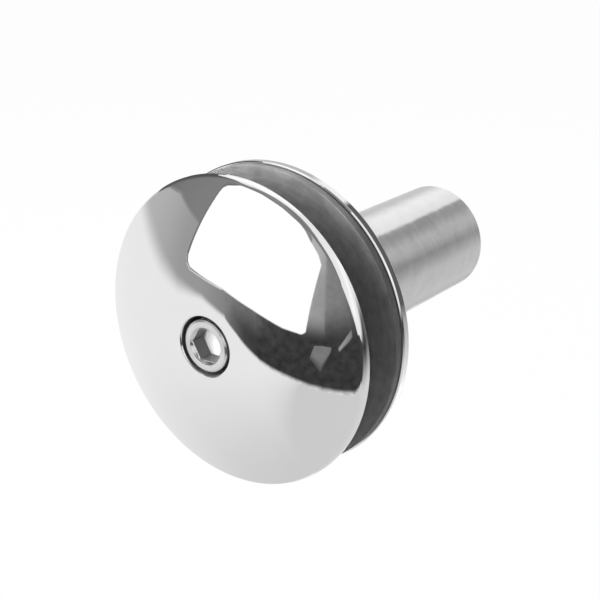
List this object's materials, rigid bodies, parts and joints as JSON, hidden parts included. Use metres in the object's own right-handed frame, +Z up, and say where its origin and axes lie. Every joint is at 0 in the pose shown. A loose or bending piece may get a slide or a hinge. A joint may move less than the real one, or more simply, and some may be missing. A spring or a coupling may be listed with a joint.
{
  "type": "glass curtain wall clamp",
  "caption": "Round standoff clamp for glass: a domed cap and a rear disc grip the pane around its hole, drawn together on a spacer by a socket screw into a solid post.",
  "frame": {"origin": "centre of the post's rear end face, where the clamp meets the structure", "axes": "+Y along the post towards the structure, with the cap facing -Y; +Z up"},
  "size_m": [0.05, 0.0678, 0.05],
  "materials": {
    "polished_cap": "mirror polished stainless steel",
    "polished_disc": "polished stainless steel",
    "brushed_post": "turned and brushed stainless steel",
    "screw_steel": "bright machined stainless steel",
    "pad_rubber": "matt dark grey rubber",
    "bush_nylon": "natural nylon"
  },
  "bodies": {
    "base": {"post": "brushed_post", "rear_disc": "polished_disc", "rear_pad": "pad_rubber", "spacer_bush": "bush_nylon"},
    "cap": {"front_cap": "polished_cap", "front_pad": "pad_rubber"},
    "screw": {"clamp_screw": "screw_steel"}
  },
  "joints": [
    {"name": "clamp_open", "type": "slide", "parent": "base", "child": "cap", "axis": [0, -1, 0], "range_m": [0, 0.008]},
    {"name": "screw_turn", "type": "hinge", "parent": "cap", "child": "screw", "pos_m": [0, -0.063, 0], "axis": [0, -1, 0], "range_deg": [0, 2880]}
  ],
  "couplings": [
    {"joint": "screw_turn", "follows": "clamp_open", "rad_per_m": 6283.2}
  ]
}
